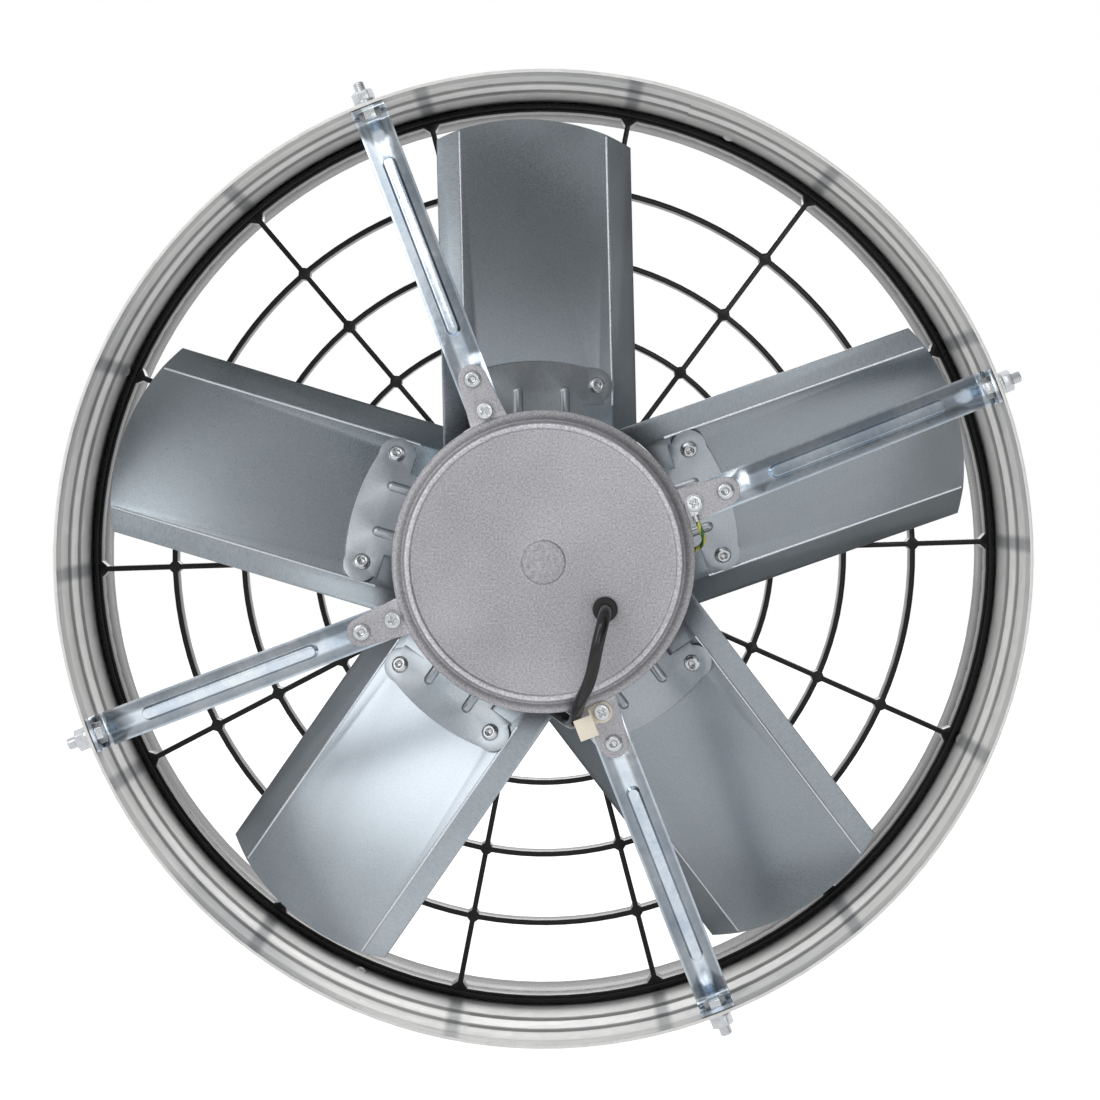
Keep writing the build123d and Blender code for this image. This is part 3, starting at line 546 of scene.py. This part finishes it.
def softened(node_name, width, corner=30, segments=2):
    """A copy of a node's mesh, with its flat faces joined and its edges rounded."""
    source = frame["nodes"][node_name].data
    shape = bmesh.new()
    shape.from_mesh(source)
    bmesh.ops.remove_doubles(shape, verts=shape.verts, dist=2e-6)
    bmesh.ops.dissolve_limit(shape, angle_limit=math.radians(0.5), verts=shape.verts, edges=shape.edges)
    sharp = [edge for edge in shape.edges
             if len(edge.link_faces) == 2 and edge.calc_face_angle(0) > math.radians(corner)]
    bmesh.ops.bevel(shape, geom=sharp, offset=width, offset_type="OFFSET", segments=segments, profile=0.6,
                    affect="EDGES", clamp_overlap=True)
    bmesh.ops.triangulate(shape, faces=[face for face in shape.faces if len(face.verts) > 4])
    return smooth_mesh(mesh_of(node_name + "_form", shape), 38)


def lathed(name, profile, steps=36):
    """A round form from (radius, height) points in mm about +Z."""
    shape = bmesh.new()
    line = [shape.verts.new((radius * MM, 0, height * MM)) for radius, height in profile]
    edges = [shape.edges.new(pair) for pair in zip(line, line[1:])]
    bmesh.ops.spin(shape, geom=line + edges, cent=(0, 0, 0), axis=(0, 0, 1), angle=2 * math.pi, steps=steps)
    bmesh.ops.remove_doubles(shape, verts=shape.verts, dist=1e-7)
    bmesh.ops.recalc_face_normals(shape, faces=shape.faces)
    return smooth_mesh(mesh_of(name, shape), 50)


def stamped(name, outlines, thickness, rounding):
    """A flat form with rounded edges from closed (x, y) outlines in mm, the first of them the outside."""
    curve = bpy.data.curves.new(name, "CURVE")
    curve.dimensions = "2D"
    curve.fill_mode = "BOTH"
    curve.extrude = (thickness / 2 - rounding) * MM
    curve.bevel_depth = rounding * MM
    curve.bevel_resolution = 3
    for outline in outlines:
        spline = curve.splines.new("POLY")
        spline.points.add(len(outline) - 1)
        for control, (across, along) in zip(spline.points, outline):
            control.co = (across * MM, along * MM, 0, 1)
        spline.use_cyclic_u = True
    mesh = mesh_of_curve(name, curve)
    shape = bmesh.new()
    shape.from_mesh(mesh)
    bmesh.ops.remove_doubles(shape, verts=shape.verts, dist=1e-7)
    bmesh.ops.recalc_face_normals(shape, faces=shape.faces)
    shape.to_mesh(mesh)
    shape.free()
    return smooth_mesh(mesh, 40)


def circle(radius, count=40):
    """A closed round outline."""
    return [(radius * math.cos(2 * math.pi * k / count), radius * math.sin(2 * math.pi * k / count))
            for k in range(count)]


def joined(name, parts):
    """Several meshes as one, each moved up +Z by its lift in mm."""
    shape = bmesh.new()
    for mesh, lift in parts:
        first = len(shape.verts)
        shape.from_mesh(mesh)
        shape.verts.ensure_lookup_table()
        bmesh.ops.translate(shape, verts=shape.verts[first:], vec=(0, 0, lift * MM))
    return smooth_mesh(mesh_of(name, shape), 40)


def round_tubes(name, lines, radius):
    """Round bars along straight or bent lines, as one mesh."""
    curve = bpy.data.curves.new(name, "CURVE")
    curve.dimensions = "3D"
    curve.bevel_depth = radius
    curve.bevel_resolution = 3
    curve.use_fill_caps = True
    for line in lines:
        spline = curve.splines.new("POLY")
        spline.points.add(len(line) - 1)
        for control, point in zip(spline.points, line):
            control.co = (*point, 1)
    return smooth_mesh(mesh_of_curve(name, curve), 60)


def start_set_out():
    """A node tree that sets one form on every point of a mesh, turned by the point's own angles."""
    tree = bpy.data.node_groups.new("set_out", "GeometryNodeTree")
    sockets = {}
    tree.interface.new_socket("Geometry", in_out="INPUT", socket_type="NodeSocketGeometry")
    for label, kind in (("Form", "Object"), ("Size", "Float"), ("Finish", "Material")):
        socket = tree.interface.new_socket(label, in_out="INPUT", socket_type="NodeSocket" + kind)
        sockets[label] = socket.identifier
    tree.interface.new_socket("Geometry", in_out="OUTPUT", socket_type="NodeSocketGeometry")
    nodes, links = tree.nodes, tree.links
    entry, leave = nodes.new("NodeGroupInput"), nodes.new("NodeGroupOutput")
    form = nodes.new("GeometryNodeObjectInfo")
    turn = add(nodes, "GeometryNodeInputNamedAttribute", data_type="FLOAT_VECTOR")
    turn.inputs["Name"].default_value = "turn"
    rotation = nodes.new("FunctionNodeEulerToRotation")
    place = nodes.new("GeometryNodeInstanceOnPoints")
    real = nodes.new("GeometryNodeRealizeInstances")
    paint = nodes.new("GeometryNodeSetMaterial")
    links.new(entry.outputs["Form"], form.inputs["Object"])
    links.new(entry.outputs["Geometry"], place.inputs["Points"])
    links.new(form.outputs["Geometry"], place.inputs["Instance"])
    links.new(turn.outputs["Attribute"], rotation.inputs["Euler"])
    links.new(rotation.outputs["Rotation"], place.inputs["Rotation"])
    links.new(entry.outputs["Size"], place.inputs["Scale"])
    links.new(place.outputs["Instances"], real.inputs["Geometry"])
    links.new(real.outputs["Geometry"], paint.inputs["Geometry"])
    links.new(entry.outputs["Finish"], paint.inputs["Material"])
    links.new(paint.outputs["Geometry"], leave.inputs["Geometry"])
    return tree, sockets


set_out_tree, set_out_sockets = start_set_out()


def set_out(name, form, places, body, finish, replaces=(), size=1.0):
    """A form repeated at (point, direction of its +Z, turn about it), as one mesh."""
    points = bpy.data.meshes.new(name + "_points")
    points.from_pydata([tuple(point) for point, direction, spin in places], [], [])
    turn = points.attributes.new("turn", "FLOAT_VECTOR", "POINT")
    for value, (point, direction, spin) in zip(turn.data, places):
        facing = Vector(direction).to_track_quat("Z", "Y").to_matrix()
        facing = facing @ Matrix.Rotation(math.radians(spin), 3, "Z")
        value.vector = tuple(facing.to_euler())
    model = bpy.data.objects.new(name + "_form", form)
    holder = bpy.data.objects.new(name + "_set", points)
    for thing in (model, holder):
        scene.collection.objects.link(thing)
    modifier = holder.modifiers.new("set_out", "NODES")
    modifier.node_group = set_out_tree
    modifier[set_out_sockets["Form"]] = model
    modifier[set_out_sockets["Size"]] = size
    modifier[set_out_sockets["Finish"]] = finish
    bpy.context.view_layer.update()
    evaluated = holder.evaluated_get(bpy.context.evaluated_depsgraph_get())
    mesh = bpy.data.meshes.new_from_object(evaluated)
    holder.modifiers.clear()
    for thing in (model, holder):
        bpy.data.objects.remove(thing)
    mesh.name = name
    return put(name, mesh, body, finish, replaces)


# Visible nodes whose copies get rounded edges, with the rounding in mm
ROUNDED = [("front_housing", 0.7), ("guard_grille", 0.55), ("cord_clip", 0.22), ("arm_bolts", 0.4),
           ("arm_nuts", 0.4), ("arm_washers", 0.25), ("lug_washers", 0.2), ("earth_terminal", 0.15),
           ("impeller_spider", 0.4), ("duct_ring", 0.25), ("guard_rim", 0.4)]
ROUNDED += [(f"arm_{number + 1}", 0.45) for number in range(len(ARM_ANGLES))]
ROUNDED += [(f"blade_{number + 1}", 0.28) for number in range(len(BLADE_ANGLES))]
slot_of_node = {entry["node"]: entry["material_slot"] for entry in frame["record"]["subparts"]}
bodies = frame["record"]["behaviour"]["bodies"]
body_of_node = {name: body for body, names in bodies.items() for name in names}
for node_name, width in ROUNDED:
    slot = slot_of_node[node_name]
    finish = FINISH_OF_SLOT[slot]
    if node_name.startswith("blade_"):
        finish = blade_finishes[int(node_name[6:]) - 1]
    put(node_name + "_form", softened(node_name, width * MM), body_of_node[node_name], finish,
        (node_name,))


# Rivets and screws: depths and radii in mm
LUG_TOP = -14.0
LUG_SCREW_AT = 81.5
LUG_RIVET_AT = 98.6
LUG_GRIP = 6.0
BLADE_GRIP = 3.2
SPIDER_SHEET = 2.0
BLADE_AXIS_DEPTH = 57.0
PITCH = math.radians(25)
PETAL_RIVET_ALONG = 91.0
PETAL_RIVET_ACROSS = 29.7


RIVET_HEAD = [(0, -0.25), (1.35, -0.25), (1.6, -0.5), (1.68, -1.35), (1.95, -1.8), (2.5, -2.0), (3.1, -1.95),
              (3.8, -1.6), (4.35, -1.0), (4.58, -0.35), (4.5, 0), (2.4, 0)]
RIVET_TAIL = [(2.4, 0), (3.7, 0), (3.6, 0.7), (2.9, 1.15), (0, 1.15)]


def tubular_rivet(name, grip):
    """A rivet with a rolled head round an open bore below z = 0, and a flattened tail above its grip."""
    return lathed(name, RIVET_HEAD + [(radius, grip + height) for radius, height in RIVET_TAIL])


def blade_frame(angle):
    """The way out along a blade, the way across it, and its face's direction to the motor side."""
    turn = math.radians(angle)
    along = way_out(angle)
    side = Vector((-math.sin(turn), 0, math.cos(turn)))
    across = side * math.cos(PITCH) + Vector((0, -math.sin(PITCH), 0))
    facing = across.cross(along)
    return along, across, facing * (1 if facing.y < 0 else -1)


BACKWARDS = (0, 1, 0)
lug_rivet_places = [(on_front(LUG_RIVET_AT * MM, angle, LUG_TOP * MM), BACKWARDS, 0) for angle in ARM_ANGLES]
set_out("lug_rivet_heads", tubular_rivet("lug_rivet", LUG_GRIP), lug_rivet_places, "frame", fastener_zinc,
        ("arm_rivets",))
petal_rivet_places = []
for angle in BLADE_ANGLES:
    along, across, facing = blade_frame(angle)
    for side in (-1, 1):
        place = Vector((0, depth(BLADE_AXIS_DEPTH * MM), 0)) + along * PETAL_RIVET_ALONG * MM
        place += across * side * PETAL_RIVET_ACROSS / math.cos(PITCH) * MM + facing * SPIDER_SHEET * MM
        petal_rivet_places.append((place, -facing, 0))
set_out("petal_rivets", tubular_rivet("petal_rivet", BLADE_GRIP), petal_rivet_places, "impeller",
        fastener_zinc, ("blade_rivets",))

# Cross-head screws, sizes in mm, and the turn of each one's cross in degrees
CROSS_HALF = 0.95
CROSS_REACH = 2.75
SCREW_HEAD_RADIUS = 3.55
SCREW_HEAD_HEIGHT = 2.6
SCREW_HEAD_LIFT = -1.4
SCREW_HEAD_ROUNDING = 0.6
SCREW_SHANK = [(0, -0.9), (3.2, -0.9), (3.2, -0.2), (2.0, 0), (2.0, 11), (0, 11)]
SCREW_TURNS = (12, 40, 71, 25)
cross_hole = []
arm_end = [(CROSS_REACH, -CROSS_HALF), (CROSS_REACH, CROSS_HALF), (CROSS_HALF, CROSS_HALF)]
for quarter in range(4):
    cross_hole += arm_end
    arm_end = [(-up, right) for right, up in arm_end]
screw_head = stamped("screw_head", [circle(SCREW_HEAD_RADIUS), cross_hole], SCREW_HEAD_HEIGHT,
                     SCREW_HEAD_ROUNDING)
screw_form = joined("lug_screw", [(screw_head, SCREW_HEAD_LIFT), (lathed("screw_shank", SCREW_SHANK), 0)])
screw_places = [(on_front(LUG_SCREW_AT * MM, angle, (LUG_TOP - 1) * MM), BACKWARDS, turn)
                for angle, turn in zip(ARM_ANGLES, SCREW_TURNS)]
set_out("lug_screw_heads", screw_form, screw_places, "frame", fastener_zinc, ("lug_screws",))

# Thread rings on the free ends of the arm bolts, a millimetre apart
BOLT_DEPTH = 7.5
BOLT_END = 261.7
THREAD_INSET = 1.3
THREAD_RINGS = 4
THREAD_EDGE = [(2.7, -0.45), (3.12, 0), (2.7, 0.45)]
thread_places = []
for angle in ARM_ANGLES:
    for ring in range(THREAD_RINGS):
        middle = on_front((BOLT_END - THREAD_INSET - ring) * MM, angle, BOLT_DEPTH * MM)
        thread_places.append((middle, way_out(angle).normalized(), 0))
set_out("bolt_threads", lathed("thread_ring", THREAD_EDGE, 24), thread_places, "frame", fastener_zinc)

# Fold lines of the blades: the pressed ridge where each flange turns away, in a lighter zinc that paints a
# highlight along it
FOLD_ACROSS = 42.75
FOLD_SUNK = 0.35
FOLD_ENDS = (80.5, 224.0)
FOLD_RADIUS = 0.9
fold_lines = []
for angle in BLADE_ANGLES:
    along, across, facing = blade_frame(angle)
    for side in (-1, 1):
        centre = Vector((0, depth(BLADE_AXIS_DEPTH * MM), 0)) + across * side * FOLD_ACROSS * MM
        centre -= facing * FOLD_SUNK * MM
        fold_lines.append([centre + along * reach * MM for reach in FOLD_ENDS])
put("blade_fold_ridges", round_tubes("blade_fold_ridges", fold_lines, FOLD_RADIUS * MM), "impeller",
    fold_painted_highlight)

# Lap seam of the duct's sheet: its outer edge stands off by a step and thins out over its sweep.
# SEAM_LINE holds (depth, dip towards the axis) in mm, which follows the duct's beads
DUCT_INNER = 249.2
SEAM_ANGLE = 72.0
SEAM_SWEEP = 6.0
SEAM_STEP = 0.45
SEAM_PARTS = 6
SEAM_LINE = [(16, 0), (38.5, 0), (41, 1.5), (43.5, 0), (68.5, 0), (71, 1.5), (73.5, 0), (107, 0)]
seam_shape = bmesh.new()


def seam_row(angle, rise):
    """Points of the seam from front to back at an angle, raised off the sheet."""
    return [seam_shape.verts.new(on_front((DUCT_INNER - dip - rise) * MM, angle, back * MM))
            for back, dip in SEAM_LINE]


seam_rows = [seam_row(SEAM_ANGLE - SEAM_SWEEP * step / SEAM_PARTS, SEAM_STEP * (1 - step / SEAM_PARTS))
             for step in range(SEAM_PARTS + 1)]
seam_rows.insert(0, seam_row(SEAM_ANGLE, 0))
for lower, upper in zip(seam_rows, seam_rows[1:]):
    for corners in zip(lower, lower[1:], upper[1:], upper):
        seam_shape.faces.new(corners)
put("lap_seam", smooth_mesh(mesh_of("lap_seam", seam_shape)), "frame", galvanised_duct)

# Spot welds along the seam, sunk a little into the sheet
WELD_ANGLE = SEAM_ANGLE + 1.6
WELD_DEPTHS = (24, 54, 84, 100)
WELD_SUNK = 0.05
WELD_EDGE = [(0, 0.5), (1.1, 0.45), (1.9, 0.2), (2.4, 0)]
weld_places = [(on_front((DUCT_INNER + WELD_SUNK) * MM, WELD_ANGLE, back * MM), -way_out(WELD_ANGLE), 0)
               for back in WELD_DEPTHS]
set_out("spot_welds", lathed("spot_weld", WELD_EDGE, 20), weld_places, "frame", galvanised_duct)

# Cord clip's ring, which shows round its screw
CLIP_RING = [(2.3, 0), (5.2, 0), (5.5, 0.15), (5.6, 0.4), (5.5, 0.7), (5.2, 0.85), (2.3, 0.85), (2.3, 0)]
CLIP_RING_DEPTH = LUG_TOP - 1.05
clip_place = on_front(LUG_SCREW_AT * MM, ARM_ANGLES[3], CLIP_RING_DEPTH * MM)
set_out("cord_clip_ring", lathed("clip_ring", CLIP_RING, 44), [(clip_place, BACKWARDS, 0)], "frame",
        clip_plastic)

# Earth wire: green with a yellow stripe, from the tag into the rear housing
EARTH_RADIUS = 1.2 * MM
TAG_OUT = 79.9
TAG_DOWN = 9.2
TAG_DEPTH = -15.75
tag_turn = math.radians(ARM_ANGLES[0])
tag_down = Vector((math.sin(tag_turn), 0, -math.cos(tag_turn)))
wire_start = way_out(ARM_ANGLES[0]) * TAG_OUT * MM + tag_down * TAG_DOWN * MM
wire_start.y = depth(TAG_DEPTH * MM)
wire_points = [wire_start, wire_start + tag_down * 5 * MM, (82.0 * MM, depth(-8 * MM), 10.5 * MM),
               (79.5 * MM, depth(0), 6.5 * MM), (73.0 * MM, depth(2.5 * MM), 4.0 * MM),
               (64.3 * MM, depth(2.5 * MM), 3.0 * MM)]
wire = smooth_line("earth_lead", wire_points, EARTH_RADIUS)
wire.data.materials.append(earth_sheath)
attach(wire, "frame")
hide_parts("earth_wire")

# Studio: pale floor, white surround, and a darker camera side with soft boxes
FLOOR_HEIGHT = -0.262
FLOOR_HALF = 4.0
FLOOR_GREY = (0.35, 0.35, 0.35, 1)
FLOOR_ROUGHNESS = 0.9
# The floor's own glow as the fan gets it and as the camera sees it
FLOOR_GLOW = 0.58
FLOOR_SEEN = 0.9
WHITE = (1, 1, 1, 1)
floor_mesh = bpy.data.meshes.new("floor")
floor_mesh.from_pydata([(-FLOOR_HALF, -FLOOR_HALF, FLOOR_HEIGHT), (FLOOR_HALF, -FLOOR_HALF, FLOOR_HEIGHT),
                        (FLOOR_HALF, FLOOR_HALF, FLOOR_HEIGHT), (-FLOOR_HALF, FLOOR_HALF, FLOOR_HEIGHT)],
                       [], [(0, 1, 2, 3)])
floor = bpy.data.objects.new("floor", floor_mesh)
scene.collection.objects.link(floor)
floor_white, floor_nodes, floor_links, floor_shader = new_material("floor_white")
floor_shader.inputs["Base Color"].default_value = FLOOR_GREY
floor_shader.inputs["Roughness"].default_value = FLOOR_ROUGHNESS
floor_shader.inputs["Emission Color"].default_value = WHITE
floor_ray = add(floor_nodes, "ShaderNodeLightPath")
floor_glow = mapped(floor_nodes, floor_links, floor_ray.outputs["Is Camera Ray"],
                    end=(FLOOR_GLOW, FLOOR_SEEN))
floor_links.new(floor_glow, floor_shader.inputs["Emission Strength"])
floor_mesh.materials.append(floor_white)

# Light from all round: bright from behind the fan, and from in front graded towards one bright side
BRIGHT_SIDE = (-0.82, -0.5, 0.28)
SIDE_SPAN = (-0.7, 0.9)
FRONT_LEVELS = (0.09, 0.66)
BEHIND_SPAN = (-0.15, 0.35)
BEHIND_LEVEL = 0.95
world = bpy.data.worlds.new("studio")
scene.world = world
world.use_nodes = True
nodes, links = world.node_tree.nodes, world.node_tree.links
nodes.clear()
surround = add(nodes, "ShaderNodeOutputWorld")
look = add(nodes, "ShaderNodeLightPath")
way = add(nodes, "ShaderNodeTexCoord")
split = add(nodes, "ShaderNodeSeparateXYZ")
links.new(way.outputs["Generated"], split.inputs["Vector"])
behind = mapped(nodes, links, split.outputs["Y"], BEHIND_SPAN)
sideways = add(nodes, "ShaderNodeVectorMath", operation="DOT_PRODUCT")
sideways.inputs[1].default_value = BRIGHT_SIDE
links.new(way.outputs["Generated"], sideways.inputs[0])
front = mapped(nodes, links, sideways.outputs["Value"], SIDE_SPAN, FRONT_LEVELS,
               interpolation_type="SMOOTHSTEP")
strength = add(nodes, "ShaderNodeMix", data_type="FLOAT")
strength.inputs["B"].default_value = BEHIND_LEVEL
links.new(behind, strength.inputs["Factor"])
links.new(front, strength.inputs["A"])
seen = add(nodes, "ShaderNodeBackground")
lit = add(nodes, "ShaderNodeBackground")
links.new(strength.outputs["Result"], lit.inputs["Strength"])
choose = add(nodes, "ShaderNodeMixShader")
links.new(look.outputs["Is Camera Ray"], choose.inputs["Fac"])
links.new(lit.outputs["Background"], choose.inputs[1])
links.new(seen.outputs["Background"], choose.inputs[2])
links.new(choose.outputs["Shader"], surround.inputs["Surface"])
for background in (seen, lit):
    background.inputs["Color"].default_value = WHITE

# Soft boxes: place and side in metres, and power in watts
SOFT_BOXES = (("box_left", (-1.35, -1.45, 0.95), 1.1, 6.5), ("box_top_left", (-0.55, -1.9, 1.5), 0.5, 3.0),
              ("box_front", (0.35, -2.6, 0.35), 0.5, 2.2), ("box_behind", (0.3, 1.9, 0.9), 1.2, 12.0))


def soft_box(name, place, size, power):
    """A square soft light aimed at the middle of the fan."""
    light = bpy.data.lights.new(name, "AREA")
    light.shape = "SQUARE"
    light.size = size
    light.energy = power
    lamp = bpy.data.objects.new(name, light)
    lamp.location = place
    lamp.rotation_euler = (-Vector(place)).to_track_quat("-Z", "Y").to_euler()
    scene.collection.objects.link(lamp)


for name, place, size, power in SOFT_BOXES:
    soft_box(name, place, size, power)
